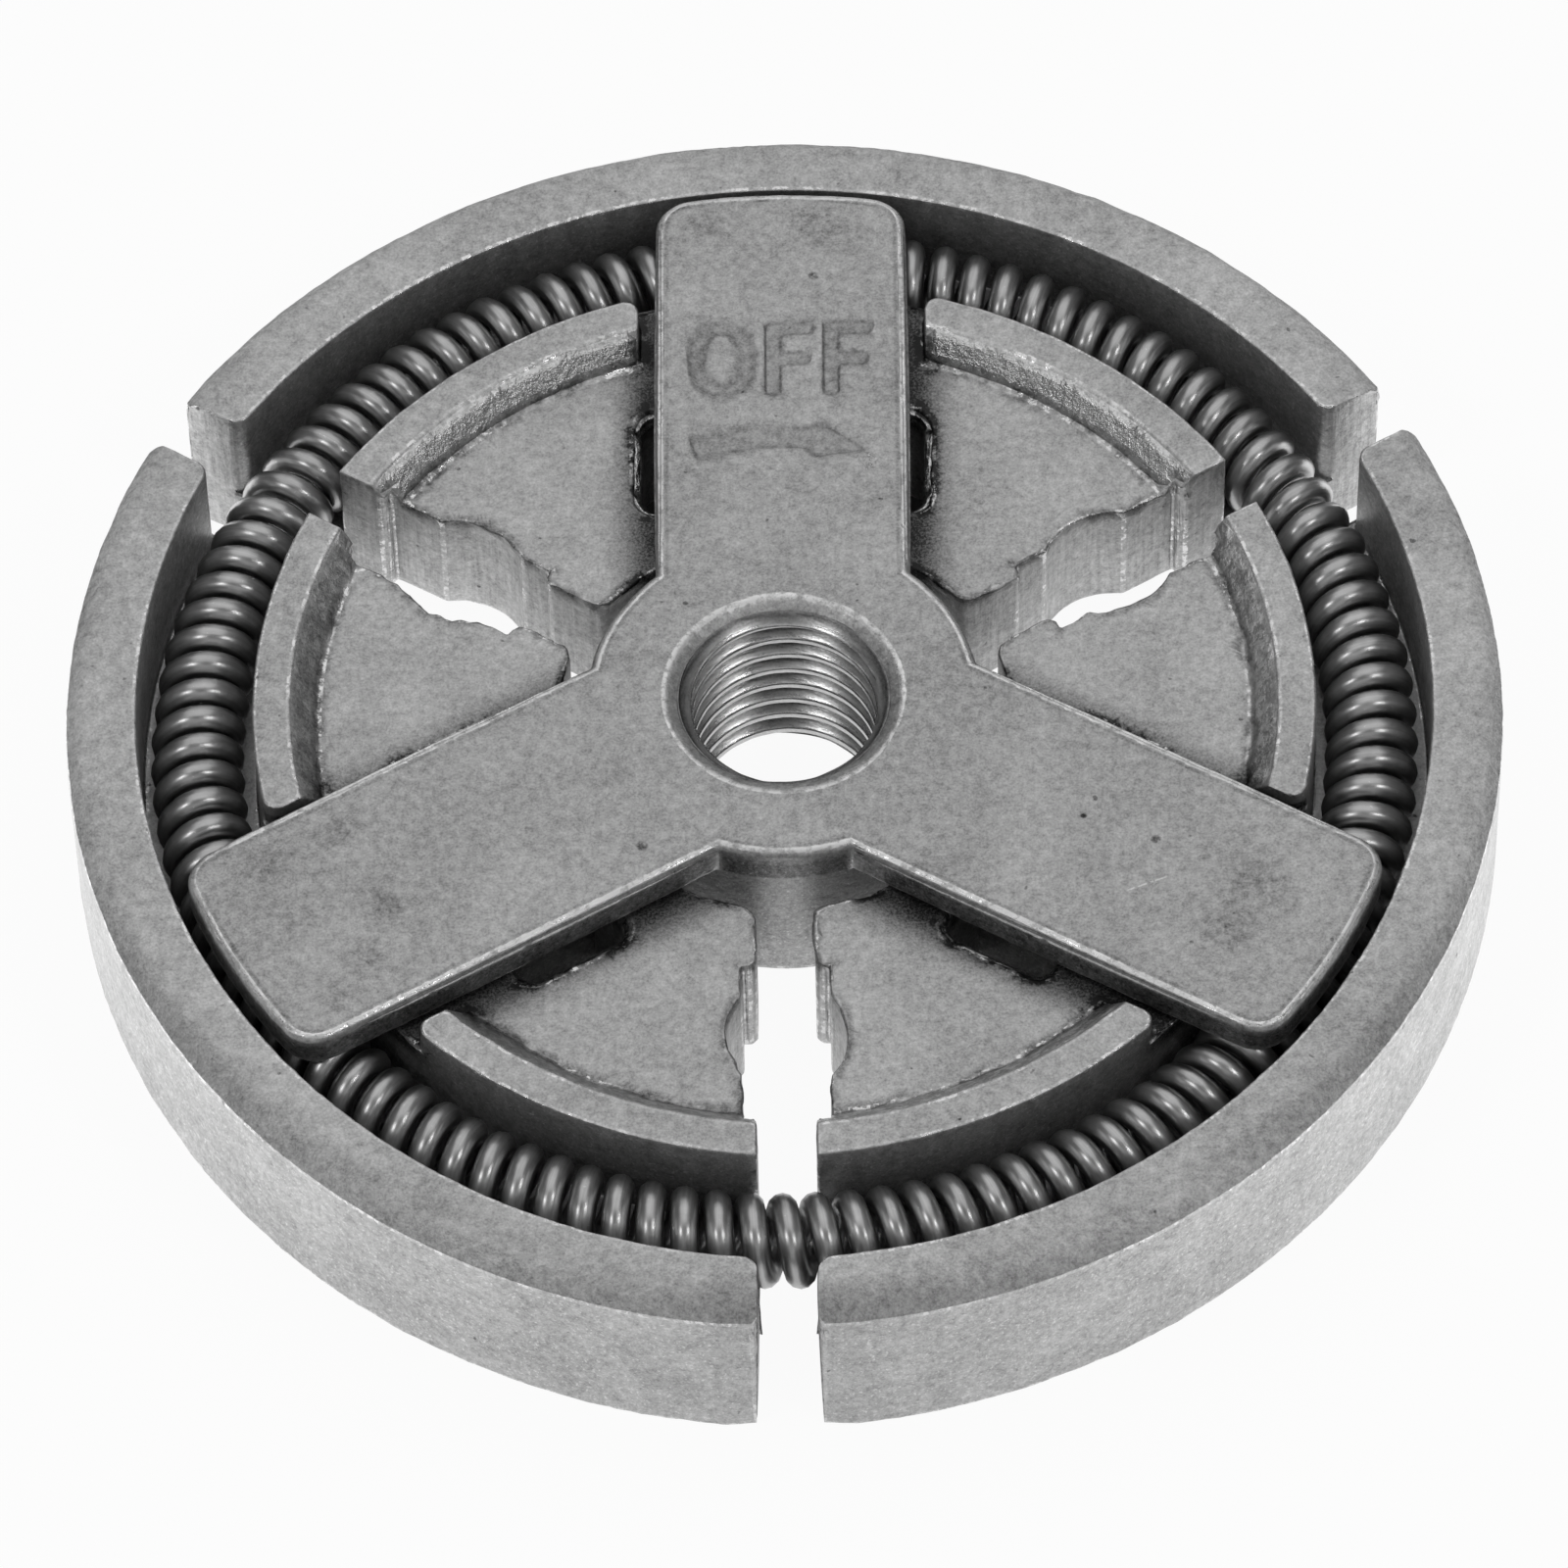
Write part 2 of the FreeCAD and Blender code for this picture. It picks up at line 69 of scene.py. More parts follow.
print("frame loaded:", ", ".join(sorted(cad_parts)))


# Shader maths.
class Wire:
    # A socket of a node tree. Arithmetic on it adds Math nodes, and make() adds any other node.
    def __init__(self, tree, socket):
        self.tree, self.socket = tree, socket

    def make(self, kind, settings, inputs, output=0):
        node = self.tree.nodes.new(kind)
        for name, value in settings.items():
            setattr(node, name, value)
        for key, value in inputs.items():
            if isinstance(value, Wire):
                self.tree.links.new(value.socket, node.inputs[key])
            else:
                node.inputs[key].default_value = value
        return Wire(self.tree, node.outputs[output])

    def calc(self, operation, first, second):
        return self.make("ShaderNodeMath", {"operation": operation}, {0: first, 1: second})

    def __add__(self, other):
        return self.calc("ADD", self, other)

    def __sub__(self, other):
        return self.calc("SUBTRACT", self, other)

    def __rsub__(self, other):
        return self.calc("SUBTRACT", other, self)

    def __mul__(self, other):
        return self.calc("MULTIPLY", self, other)

    __radd__ = __add__
    __rmul__ = __mul__

    def between(self, low, high):  # 0 below low, 1 above high, smooth in between
        return self.make("ShaderNodeMapRange", {"interpolation_type": "SMOOTHSTEP"},
                         {"Value": self, "From Min": low, "From Max": high})

    def noise(self, size, detail, rough):  # cloudy value of 0 to 1, with features of this size
        return self.make("ShaderNodeTexNoise", {},
                         {"Vector": self, "Scale": 1 / size, "Detail": detail, "Roughness": rough})

    def patches(self, size, detail, rough, low, high):  # noise cut to 0 below low and to 1 above high
        return self.noise(size, detail, rough).between(low, high)

    def stretched(self, scale):
        return self.make("ShaderNodeMapping", {}, {"Vector": self, "Scale": scale})

    def attribute(self, name):
        return self.make("ShaderNodeAttribute", {"attribute_name": name}, {}, 2)

    def dot(self, way):
        return self.make("ShaderNodeVectorMath", {"operation": "DOT_PRODUCT"}, {0: self, 1: way}, 1)

    def size(self):
        return self.make("ShaderNodeMath", {"operation": "ABSOLUTE"}, {0: self})

    def spot(self, centre, inner, outer):  # 1 within the inner distance of a point, 0 beyond the outer
        away = self.make("ShaderNodeVectorMath", {"operation": "DISTANCE"}, {0: self, 1: centre}, 1)
        return 1 - away.between(inner, outer)

    def radius(self):  # distance from the clutch's axis
        flat = self.make("ShaderNodeVectorMath", {"operation": "MULTIPLY"}, {0: self, 1: (1, 1, 0)})
        return flat.make("ShaderNodeVectorMath", {"operation": "LENGTH"}, {0: flat}, 1)

    def armLines(self, turn):  # distance along an arm, and to either side of its middle line
        angle = math.radians(turn)
        along = self.dot((math.cos(angle), math.sin(angle), 0))
        return along, self.dot((-math.sin(angle), math.cos(angle), 0)).size()


def newMaterial(name):
    material = bpy.data.materials.new(name)
    material.use_nodes = True
    tree = material.node_tree
    shader = tree.nodes["Principled BSDF"]
    place = Wire(tree, tree.nodes.new("ShaderNodeTexCoord").outputs["Object"])
    return material, shader, place


def feed(wire, shader, name):
    wire.tree.links.new(wire.socket, shader.inputs[name])


def grey(value):
    return (value, value, value, 1.0)


def blendGreys(factor, low, high):  # colour from one grey to another
    return factor.make("ShaderNodeMix", {"data_type": "RGBA"}, {0: factor, 6: grey(low), 7: grey(high)}, 2)


def weighed(layers, shares):  # sum of the layers that have a share, each times its share
    return sum(layers[name] * share for name, share in shares.items())


# A steel's finish: the layers' shares add up to its tone between two linear greys, its roughness and
# its relief.
def finishSteel(shader, layers, look):
    tone = weighed(layers, look["toneShares"]) + look["tone"]
    feed(blendGreys(tone, look["dark"], look["light"]), shader, "Base Color")
    feed(weighed(layers, look["roughShares"]) + look["roughness"], shader, "Roughness")
    shader.inputs["Metallic"].default_value = look["metallic"]
    relief = weighed(layers, look["reliefShares"])
    bump = {"Strength": look["bump"], "Distance": look["depth"], "Height": relief}
    feed(relief.make("ShaderNodeBump", {}, bump), shader, "Normal")


# Sintered steel: matt grey grain, clumps, blotches and pits all over. A piece's attributes say where it
# has rubbed or torn edges, stamped marks, a rolled rim, press marks, tears and specks, and where painted
# shade darkens the webs beside the arms and the wall feet of the side shoes.
sinter = {
    "dark": 0.03, "light": 0.66, "roughness": 0.47, "metallic": 0.88, "bump": 0.6, "depth": 0.03 * mm,
    # noises: size, detail and roughness, and for patches the two values between which they set in
    "grain": (0.13 * mm, 3.0, 0.7), "clump": (0.39 * mm, 2.0, 0.55),
    "mottle": (1.5 * mm, 2.0, 0.6), "blotch": (6.5 * mm, 3.0, 0.6),
    "tears": (0.65 * mm, 4.0, 0.75), "lines": (0.2 * mm, 3.0, 0.6), "lineStretch": (1.0, 1.0, 0.06),
    "unpitted": (0.55 * mm, 1.0, 0.4, 0.17, 0.23), "specks": (0.17 * mm, 1.0, 0.5, 0.62, 0.72),
    "chips": (0.35 * mm, 3.0, 0.7, 0.5, 0.6), "chipped": (4 * mm, 2.0, 0.5, 0.38, 0.58),
    # values of an attribute or a noise between which an effect sets in
    "rubbed": (0.72, 0.97), "rolled": (0.0, 0.08), "glint": (0.48, 0.56), "raggedDark": (0.4, 0.55),
    "plainRub": 0.12,       # rub of an edge between its chips
    "tearMiddle": 0.25,     # value of the tears that leaves the tone as it is
    # painted shade on the webs beside the arms: distances from the arm's middle, and heights, between which
    # it fades
    "grimeAside": (6.3 * mm, 8.9 * mm), "grimeFoot": (6.6 * mm, 7.6 * mm), "grimeTop": (8.75 * mm, 9.0 * mm),
    "toneShares": {"grain": 0.9, "clump": 0.6, "blotch": 0.38, "press": 0.6, "specks": 0.3, "soft": -0.05,
                   "tears": 2.4, "glint": 1.2, "oily": -0.26, "grime": -0.55, "ragged": -0.4, "pits": -0.25,
                   "mark": -0.06, "markSide": -0.45, "rub": 0.7},
    "roughShares": {"grain": 0.2, "pits": 0.2, "mark": 0.1, "rub": -0.22, "flank": -0.2},
    "reliefShares": {"grain": 0.8, "clump": 1.5, "pits": -1.2, "pressRelief": 1.3, "tearRelief": 40.0,
                     "markGrain": 1.5},
}


def sinteredSteel(name, tone, mottling, withFace=False):
    material, shader, place = newMaterial(name)
    noises = ("grain", "clump", "mottle", "blotch", "tears")
    grain, clump, mottle, blotch, tears = (place.noise(*sinter[label]) for label in noises)
    lines = place.stretched(sinter["lineStretch"]).noise(*sinter["lines"])
    edge, mark, soft, ragged = (place.attribute(label) for label in ("edge", "mark", "soft", "ragged"))
    flank, press, wall, oily = (place.attribute(label) for label in ("flank", "press", "wall", "oily"))
    high = place.dot((0, 0, 1))
    # painted shade: the webs beside each arm are darkened as if in the arm's shadow, mottled by noise
    grime = 1 - place.attribute("armSide").between(*sinter["grimeAside"])
    grime = grime * high.between(*sinter["grimeFoot"]) * (1 - high.between(*sinter["grimeTop"]))
    chips = place.patches(*sinter["chips"]) * place.patches(*sinter["chipped"])
    rub = edge.between(*sinter["rubbed"]) * (chips + sinter["plainRub"])
    layers = {
        "grain": grain - 0.5, "clump": clump - 0.5, "mottle": mottle - 0.5, "blotch": blotch - 0.5,
        "pits": 1 - place.patches(*sinter["unpitted"]), "specks": wall * place.patches(*sinter["specks"]),
        "press": press * (lines - 0.5), "pressRelief": press * lines,
        "flank": flank, "tears": flank * (tears - sinter["tearMiddle"]), "tearRelief": flank * tears,
        # the rolled rim's layer also paints a little shade on it
        "glint": flank * tears.between(*sinter["glint"]), "oily": oily, "soft": soft,
        # painted shadow in patches along the torn upper edges of the webs
        "grime": grime * (clump + mottle), "ragged": ragged * mottle.between(*sinter["raggedDark"]),
        # painted shade on the sloping walls of the stamped marks
        "mark": mark, "markSide": mark * (1 - mark), "markGrain": mark * clump,
        "rub": rub * (1 - soft.between(*sinter["rolled"])),
    }
    look = {**sinter, "tone": tone, "toneShares": {**sinter["toneShares"], "mottle": mottling}}
    if withFace:
        layers.update(faceLayers(place))
        for shares in ("toneShares", "reliefShares"):
            look[shares] = {**look[shares], **face[shares]}
    finishSteel(shader, layers, look)
    return material


# The spider's face: a rolled border along the plate's outline, rubbed upper edges, oil stains and
# specks on the arms, a scratch, a scar beside the arrow, and painted shade on the plate's upright sides.
face = {
    "top": 10.4 * mm, "topFade": (10.26 * mm, 10.33 * mm), "plateFoot": (8.4 * mm, 8.6 * mm),   # heights
    "armHalf": 6.1 * mm, "armReach": 30.0 * mm, "hub": 9.35 * mm, "corner": 1.7 * mm,   # outline of the plate
    # distances inwards from the outline, and how far they waver
    "border": 0.52 * mm, "borderBand": (0.42 * mm, 0.52 * mm), "waverReach": 0.14 * mm,
    "borderLine": (0.02 * mm, 0.16 * mm), "scratchLine": (0.02 * mm, 0.06 * mm),   # half widths of lines
    # noises as for the sintered steel
    "waver": (1.4 * mm, 2.0, 0.5), "broken": (2.2 * mm, 3.0, 0.6, 0.3, 0.55),
    "rimRub": (0.5 * mm, 3.0, 0.7, 0.36, 0.6), "stained": (0.45 * mm, 4.0, 0.7, 0.3, 0.72),
    "specked": (0.3 * mm, 2.0, 0.5, 0.3, 0.5), "scratched": (0.35 * mm, 2.0, 0.5, 0.42, 0.5),
    "scarred": (0.16 * mm, 3.0, 0.7, 0.52, 0.62), "scarStretch": (1.0, 0.5, 1.0),
    # x, y and reach of each mark in millimetres, and the share of its reach over which it is whole
    "stains": ((2.2, 27.6, 2.4), (0.9, 28.4, 1.2), (-3.6, 28.0, 1.2), (-18.8, -12.0, 1.8),
               (-19.7, -14.9, 1.9), (-20.8, -7.7, 1.8), (-24.4, -9.5, 2.0), (-21.0, -17.0, 1.3),
               (22.2, -11.5, 2.6), (20.6, -14.0, 2.2)),
    "specks": ((1.6, 24.8, 0.3), (-6.7, -8.7, 0.34), (17.5, -8.7, 0.3), (14.1, -7.3, 0.18)),
    "scars": ((4.1, 13.6, 0.75),), "scratches": ((17.0, -11.2, 1.1),),
    "stainCore": 0.0, "speckCore": 0.4, "scarCore": 0.3, "scratchCore": 0.8,
    "scratchTurn": 22,      # degrees
    "toneShares": {"line": -0.14, "band": 0.04, "side": -0.3, "rim": 0.45, "stain": -0.26, "speckle": -0.4,
                   "scar": 0.35, "scratch": 0.35},
    "reliefShares": {"line": -0.6, "band": 0.3, "speckle": -2.0, "scar": -1.5},
}


# Distance inwards from the plate's outline: the greatest of those of the hub's circle and the arms.
def plateInset(place):
    radius = place.radius()
    inset = face["hub"] - radius
    tip = face["armReach"] - radius
    for turn in armTurns:
        along, aside = place.armLines(turn)
        corner = {0: face["armHalf"] - aside, 1: tip, 2: face["corner"]}
        arm = place.make("ShaderNodeMath", {"operation": "SMOOTH_MIN"}, corner)
        inset = place.calc("MAXIMUM", inset, place.calc("MINIMUM", arm, along))
    return inset


def faceLayers(place):
    def spots(marks, core):
        return sum(place.spot((x * mm, y * mm, face["top"]), reach * mm * core, reach * mm)
                   for x, y, reach in marks)

    high = place.dot((0, 0, 1))
    onTop = high.between(*face["topFade"])
    inset = plateInset(place) + (place.noise(*face["waver"]) - 0.5) * face["waverReach"]
    line = 1 - (inset - face["border"]).size().between(*face["borderLine"])
    band = 1 - inset.between(*face["borderBand"])
    rim = place.attribute("edge").between(*sinter["rubbed"]) * place.patches(*face["rimRub"])
    scars = place.stretched(face["scarStretch"]).patches(*face["scarred"])
    slant = math.radians(face["scratchTurn"])
    across = np.array([-math.sin(slant), math.cos(slant), 0])
    middle = float(across[:2] @ face["scratches"][0][:2]) * mm
    scratch = 1 - (place.dot(tuple(across)) - middle).size().between(*face["scratchLine"])
    scratch = scratch * place.patches(*face["scratched"])
    return {
        "line": line * onTop * place.patches(*face["broken"]), "band": band * onTop, "rim": rim * onTop,
        # painted shade: the plate's upright sides are darkened
        "side": place.attribute("wall") * high.between(*face["plateFoot"]),
        "stain": spots(face["stains"], face["stainCore"]) * place.patches(*face["stained"]),
        "speckle": spots(face["specks"], face["speckCore"]) * place.patches(*face["specked"]),
        "scar": spots(face["scars"], face["scarCore"]) * scars,
        "scratch": spots(face["scratches"], face["scratchCore"]) * scratch,
    }


# Spring wire: dark drawn steel with faint streaks along the wire and pale specks.
wireFinish = {
    "dark": 0.2, "light": 0.66, "tone": 0.42, "roughness": 0.33, "metallic": 1.0,
    "bump": 0.4, "depth": 0.0012 * mm,
    "streak": (1.0, 3.0, 0.5), "streakStretch": (0.6, 34.0, 1.0),    # in turns of the coil and of the wire
    "cloud": (1.1 * mm, 3.0, 0.6), "specks": (0.14 * mm, 1.0, 0.5, 0.7, 0.78),
    "toneShares": {"streak": 0.6, "cloud": 0.5, "specks": 0.3},
    "roughShares": {"streak": 0.1, "cloud": 0.1},
    "reliefShares": {"streak": 1.0, "specks": 0.5},
}


def drawnWire():
    material, shader, place = newMaterial("drawnWire")
    along = place.make("ShaderNodeUVMap", {"uv_map": "wire"}, {})
    layers = {
        "streak": along.stretched(wireFinish["streakStretch"]).noise(*wireFinish["streak"]) - 0.5,
        "cloud": place.noise(*wireFinish["cloud"]) - 0.5,
        "specks": place.patches(*wireFinish["specks"]),
    }
    finishSteel(shader, layers, wireFinish)
    return material


# Cut thread: lighter towards the crests and darker towards the roots, with turning marks.
threadFinish = {
    "dark": 0.03, "light": 0.62, "tone": 0.2, "roughness": 0.36, "metallic": 1.0,
    "bump": 0.5, "depth": 0.02 * mm,
    "crestFade": (4.45 * mm, 4.95 * mm),    # radii between which the crest's brightness fades
    "grain": (0.12 * mm, 2.0, 0.6), "rings": (0.3 * mm, 3.0, 0.6), "ringStretch": (0.25, 0.25, 3.2),
    "toneShares": {"crest": 0.6, "grain": 0.45, "rings": 0.5},
    "roughShares": {"rings": 0.3, "crest": -0.08},
    "reliefShares": {"rings": 1.0, "grain": 0.6},
}


def cutSteel():
    material, shader, place = newMaterial("cutSteel")
    layers = {
        "grain": place.noise(*threadFinish["grain"]) - 0.5,
        "rings": place.stretched(threadFinish["ringStretch"]).noise(*threadFinish["rings"]) - 0.5,
        "crest": 1 - place.radius().between(*threadFinish["crestFade"]),
    }
    finishSteel(shader, layers, threadFinish)
    return material


# Helpers in numpy.
cellFactors = np.array([374761393, 668265263, 1440662683], np.int64)   # large, to scatter the cells
seedFactor, mixFactor = 974634251, 1274126177


def lattice(cells, seed):  # repeatable number of 0 to 1 for each whole-number cell
    mixed = cells @ cellFactors + seed * seedFactor
    mixed = (mixed ^ (mixed >> 13)) * mixFactor
    return ((mixed ^ (mixed >> 16)) & 0xFFFF) / 0xFFFF


def eased(part):  # smooth step from 0 to 1
    return part * part * (3 - 2 * part)


def ramp(values, low, high):  # 0 below low, 1 above high, straight in between
    return np.clip((values - low) / (high - low), 0, 1)


def softNoise(points, size, seed):  # lattice values eased between the corners of each cell, from -1 to 1
    scaled = points / size
    base = np.floor(scaled).astype(np.int64)
    part = eased(scaled - base)
    total = np.zeros(len(points))
    for corner in product((0, 1), repeat=3):
        weight = np.prod(np.where(corner, part, 1 - part), axis=1)
        total += weight * lattice(base + np.array(corner), seed)
    return total * 2 - 1


def unit(vectors):
    return vectors / np.maximum(np.linalg.norm(vectors, axis=-1, keepdims=True), 1e-12)


def rolled(table, turns):  # each row turned left by its own number of places
    places = (np.arange(table.shape[1])[None] + turns[:, None]) % table.shape[1]
    return table[np.arange(len(table))[:, None], places]


def linked(name, data):
    obj = bpy.data.objects.new(name, data)
    bpy.context.scene.collection.objects.link(obj)
    return obj


def meshObject(name, points, faces, material):
    mesh = bpy.data.meshes.new(name)
    mesh.from_pydata(points.tolist(), [], faces)
    mesh.materials.append(material)
    mesh.shade_smooth()
    return linked(name, mesh)


# Worn copies of the sintered solids.
worn = {
    "mergeWithin": 0.002 * mm, "shortEdge": 0.1 * mm,   # nearer points and shorter edges are merged
    "edgeRound": 0.12 * mm,                             # rounding of every sharp edge
    "flat": math.radians(0.3), "facet": math.radians(20), "sharp": math.radians(25),
    "edgeStep": 0.4 * mm, "nearStep": 0.7 * mm, "farStep": 1.8 * mm,   # longest on, beside, off a rounding
    "passes": 9,
    "waves": ((2.6 * mm, 1.0), (0.9 * mm, 0.6)), "nicks": ((1.3 * mm, 1.0), (0.5 * mm, 0.8)),   # size, share
    "skinWave": 0.01 * mm, "edgeWave": 0.027 * mm, "edgeWear": 0.015 * mm,
    # how a surface faces: rise of upright walls and slopes, and how far a shoe's ends face outwards
    "upright": (0.3, 0.6), "slope": (0.3, 0.9), "endOn": (0.55, 0.75),
    # torn upper edges of the webs, whole near the slot so that they stay clear of the arm's stem
    "raggedWave": 0.138 * mm, "raggedTop": 8.2 * mm, "raggedBand": 0.144 * mm, "slotClear": 6.4 * mm,
    "flankWave": 0.1 * mm, "flankInside": 25.5 * mm,    # rough foot of the walls
    # rolled outer edge of the rims, widest on the ends at the front gap; its tone carries a little painted
    # shade, most at the front
    "softStart": 33.6 * mm, "softEnd": 35.0 * mm, "softAbove": 8.9 * mm, "softRise": 0.45, "softRoll": 0.85,
    "softWiden": 1.6 * mm, "softFront": -10 * mm, "softFade": 20 * mm, "softBack": 0.3,
    "armShadeInside": 29.5 * mm,                           # the rims beyond stay free of the painted shade
    # middle and half height of the band where edges stay unrubbed, and the value that they get there
    "unrubbed": (9.98 * mm, 0.3 * mm), "unrubbedEdge": 0.6,
    "spiderSeed": 3,
}
shoes = {  # node, body, how torn the foot of its wall is, and seed of its wear
    "back": ("shoe_back", "back_shoe", 1.0, 11),
    "left": ("shoe_left", "left_shoe", 0.15, 18),
    "right": ("shoe_right", "right_shoe", 0.3, 25),
}
retraction = 0.9 * mm   # how far a shoe at rest lies inside its running place


# One pass of splitting: each edge over its limit gets a middle point, lifted on to the arc that the
# normals at its two ends describe, and each triangle is cut through its new points.
def splitPass(points, tris, normals, tags):
    flagged = np.zeros(len(points), bool)
    flagged[tris[tags > 0].ravel()] = True
    nextCorner = np.roll(tris, -1, axis=1)
    pairs = np.sort(np.stack([tris, nextCorner], -1).reshape(-1, 2), axis=1)
    edges, owner = np.unique(pairs, axis=0, return_inverse=True)
    owner = owner.reshape(-1, 3)
    ends = points[edges]
    length = np.linalg.norm(ends[:, 1] - ends[:, 0], axis=1)
    onRound = np.zeros(len(edges), bool)
    onRound[owner[tags > 0].ravel()] = True
    limit = np.where(flagged[edges].any(axis=1), worn["nearStep"], worn["farStep"])
    limit = np.where(onRound, worn["edgeStep"], limit)
    split = length > limit
    if not split.any():
        return points, tris, normals, tags, False
    step = points[nextCorner] - points[tris]
    nextNormal = np.roll(normals, -1, axis=1)
    lift = ((step * nextNormal).sum(-1, keepdims=True) * nextNormal
            - (step * normals).sum(-1, keepdims=True) * normals) / 8
    order = np.argsort(np.linalg.norm(lift, axis=-1).ravel())
    edgeLift = np.zeros((len(edges), 3))
    edgeLift[owner.ravel()[order]] = lift.reshape(-1, 3)[order]
    middle = ends.mean(axis=1) + edgeLift
    fresh = np.full(len(edges), -1)
    fresh[split] = len(points) + np.arange(split.sum())
    points = np.concatenate([points, middle[split]])
    mids = fresh[owner]
    midNormals = unit(normals + nextNormal)
    count = (mids >= 0).sum(axis=1)

    def pieces(which, turns, layout):
        corner = rolled(tris[which], turns)
        mid = rolled(mids[which], turns)
        spots = np.concatenate([corner, mid], axis=1)
        bends = np.concatenate([rolled(normals[which], turns), rolled(midNormals[which], turns)], axis=1)
        made = spots[:, layout].reshape(-1, 3)
        return made, bends[:, layout].reshape(-1, 3, 3), np.repeat(tags[which], len(layout))

    parts = [(tris[count == 0], normals[count == 0], tags[count == 0])]
    one, two, three = count == 1, count == 2, count == 3
    parts.append(pieces(one, np.argmax(mids[one] >= 0, axis=1), [[0, 3, 2], [3, 1, 2]]))
    turn = (np.argmax(mids[two] < 0, axis=1) + 1) % 3
    parts.append(pieces(two, turn, [[3, 1, 4], [0, 3, 4], [0, 4, 2]]))
    parts.append(pieces(three, np.zeros(three.sum(), int), [[0, 3, 5], [3, 1, 4], [5, 4, 2], [3, 4, 5]]))
    tris, normals, tags = (np.concatenate(group) for group in zip(*parts))
    return points, tris, normals, tags, True


def vertexNormals(points, tris):  # sum of the cross products round each point, so large faces count most
    spots = points[tris]
    cross = np.cross(spots[:, 1] - spots[:, 0], spots[:, 2] - spots[:, 0])
    total = np.zeros_like(points)
    np.add.at(total, tris.ravel(), np.repeat(cross, 3, axis=0))
    return unit(total)


def smoothed(points, tris, which, rounds):  # marked points drawn half-way to the mean of their neighbours
    for _ in range(rounds):
        total, count = np.zeros_like(points), np.zeros(len(points))
        for shift in (1, 2):
            np.add.at(total, tris.ravel(), points[np.roll(tris, -shift, axis=1).ravel()])
            np.add.at(count, tris.ravel(), 1)
        mean = total / np.maximum(count, 1)[:, None]
        points = np.where(which[:, None], (points + mean) / 2, points)
    return points


def mergedSolid(mesh):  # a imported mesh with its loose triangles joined
    solid = bmesh.new()
    solid.from_mesh(mesh)
    bmesh.ops.remove_doubles(solid, verts=solid.verts, dist=worn["mergeWithin"])
    return solid


# A solid's merged copy with rounded edges, as points, triangles, corner normals and tags
# (0 plain, 1 rounding, 2 inside a stamped mark).
def roundedCopy(mesh, inMark):
    solid = mergedSolid(mesh)
    bmesh.ops.dissolve_limit(solid, angle_limit=worn["flat"], verts=solid.verts, edges=solid.edges)
    short = [e for e in solid.edges if e.calc_length() < worn["shortEdge"]]
    bmesh.ops.collapse(solid, edges=short)
    sharp = [e for e in solid.edges if e.is_manifold and e.calc_face_angle(0) > worn["sharp"]]
    sharp = [e for e in sharp if not all(inMark(v.co) for v in e.verts)]
    made = bmesh.ops.bevel(solid, geom=sharp, offset=worn["edgeRound"], offset_type="OFFSET", segments=2,
                           profile=0.5, affect="EDGES", clamp_overlap=False)
    for side in solid.faces:
        stamped = all(inMark(v.co) for v in side.verts)
        side.material_index = 2 if stamped else 0
    for side in made["faces"]:
        if side.is_valid:
            side.material_index = 1
    bmesh.ops.triangulate(solid, faces=solid.faces)
    for side in solid.faces:
        side.smooth = True
    for e in solid.edges:  # only the facets of one curved face share their normals
        plainSides = all(side.material_index == 0 for side in e.link_faces)
        e.smooth = plainSides and e.calc_face_angle(0) < worn["facet"]
    plain = bpy.data.meshes.new("plain")
    solid.to_mesh(plain)
    solid.free()
    count = len(plain.polygons)
    points = np.empty(len(plain.vertices) * 3)
    plain.vertices.foreach_get("co", points)
    tris = np.empty(count * 3, np.int32)
    plain.polygons.foreach_get("vertices", tris)
    tags = np.empty(count, np.int32)
    plain.polygons.foreach_get("material_index", tags)
    normals = np.empty(count * 9)
    plain.corner_normals.foreach_get("vector", normals)
    bpy.data.meshes.remove(plain)
    return points.reshape(-1, 3), tris.reshape(-1, 3), normals.reshape(-1, 3, 3), tags


def shoeAxis(turn):  # plan of a shoe's own axis at rest, or of the clutch's for the spider
    if turn is None:
        return np.zeros(2)
    return -retraction * np.array([math.cos(turn), math.sin(turn)])


# Where each kind of wear and of painted shade belongs on a piece, from the way its surface faces: outwards
# from its own axis, along the gap, up the foot of a wall, or on the rim's outer bevel. A shoe also knows how
# far it is from the middle line of its arm, which places the painted shade beside the arm.
def wearPlaces(points, outward, edge, turn):
    onShoe = turn is not None
    heading = turn if onShoe else 0.0
    spoke = points[:, :2] - shoeAxis(turn)
    reach = np.linalg.norm(spoke, axis=1)
    radial = np.abs((outward[:, :2] * unit(spoke)).sum(-1))
    rise, high = outward[:, 2], points[:, 2]
    upright = (1 - ramp(np.abs(rise), *worn["upright"])) * (edge == 0)
    onEnd = onShoe * (1 - ramp(radial, *worn["endOn"]))
    front = ramp(worn["softFront"] - points[:, 1], 0, worn["softFade"])
    start = worn["softStart"] - front * worn["softWiden"]
    softness = eased(ramp(reach, start, worn["softEnd"])) * (rise > worn["softRise"])
    softness = softness * (worn["softBack"] + (1 - worn["softBack"]) * front)
    gentle, steep = worn["slope"]
    onSlope = (edge == 0) & (rise > gentle) & (rise < steep) & (reach < worn["flankInside"])
    atWebTop = np.abs(high - worn["raggedTop"]) < worn["raggedBand"]
    fromArm = np.abs(points[:, :2] @ [-math.sin(heading), math.cos(heading)])
    return {
        "flank": onShoe * onSlope, "press": upright * onEnd, "wall": upright * (1 - onEnd),
        "soft": onShoe * softness * (high > worn["softAbove"]),
        "ragged": onShoe * edge * atWebTop * (fromArm > worn["slotClear"]),
        "armSide": np.where(onShoe & (reach < worn["armShadeInside"]), fromArm, 1.0),
    }


def layeredNoise(points, layers, seed):  # sum of soft noises, each of its own size, share and seed
    return sum(share * softNoise(points, size, seed + number) for number, (size, share) in enumerate(layers))


